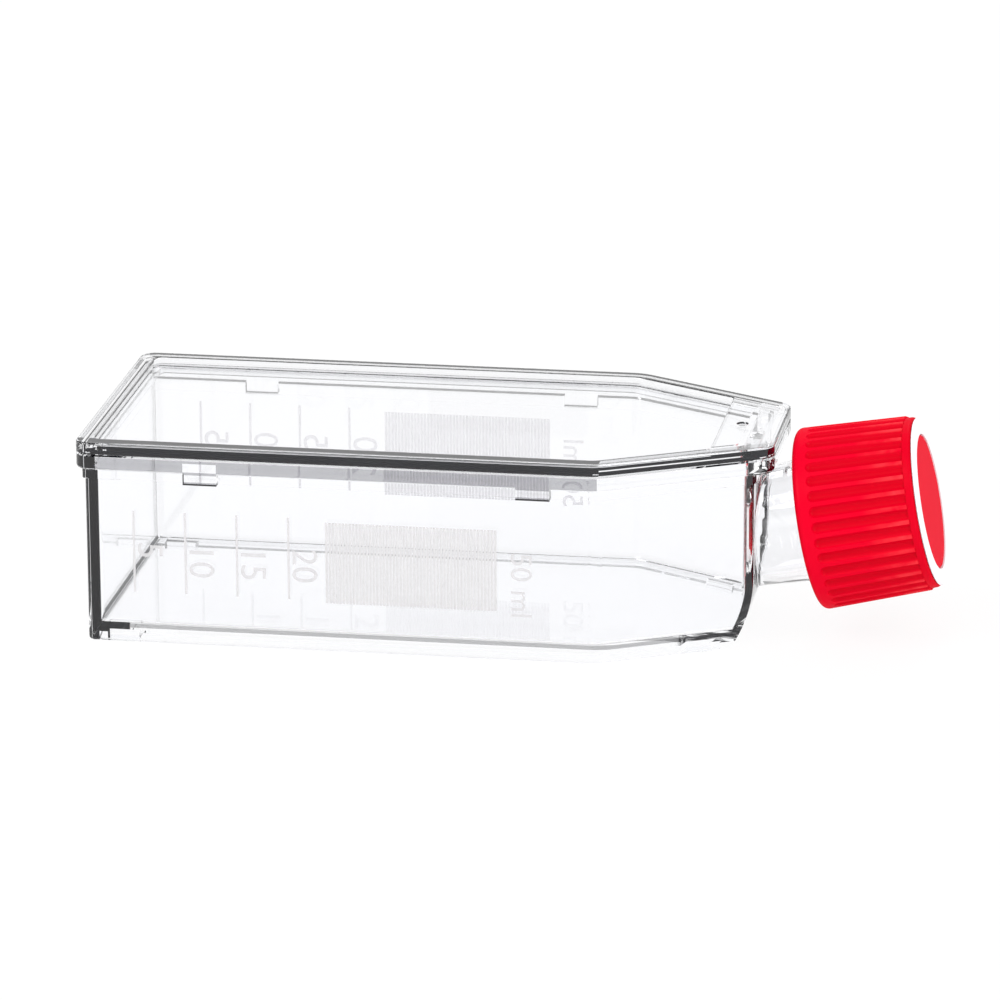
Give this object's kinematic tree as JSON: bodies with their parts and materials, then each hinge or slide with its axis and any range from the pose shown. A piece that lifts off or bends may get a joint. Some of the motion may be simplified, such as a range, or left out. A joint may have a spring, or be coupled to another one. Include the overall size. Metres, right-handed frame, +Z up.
{
  "type": "cell culture flask",
  "caption": "Clear flat-sided culture flask with a raised stacking rim, a canted neck and a ribbed red screw cap that holds a white vent ring.",
  "frame": {"origin": "on the surface the flask stands on, under the middle of its flange", "axes": "+X from the heel to the neck, +Y across, +Z up"},
  "size_m": [0.1057, 0.0404, 0.0273],
  "materials": {
    "clear_polystyrene": "clear, polished",
    "cap_red": "satin moulded",
    "ring_white": "satin moulded",
    "membrane_white": "matte"
  },
  "bodies": {
    "flask": {"flask_body": "clear_polystyrene", "top_plate": "clear_polystyrene"},
    "insert": {"vent_ring": "ring_white", "cap_disc": "cap_red", "filter_membrane": "membrane_white"},
    "cap": {"cap_shell": "cap_red"}
  },
  "joints": [
    {"name": "cap_lift", "type": "slide", "parent": "flask", "child": "insert", "axis": [0.9803, 0, 0.1977], "range_m": [0, 0.0281]},
    {"name": "cap_turn", "type": "hinge", "parent": "insert", "child": "cap", "pos_m": [0.04623, 0, 0.01402], "axis": [0.9803, 0, 0.1977], "range_deg": [0, 2520]}
  ],
  "couplings": [
    {"joint": "cap_lift", "follows": "cap_turn", "m_per_rad": 0.00063662}
  ]
}
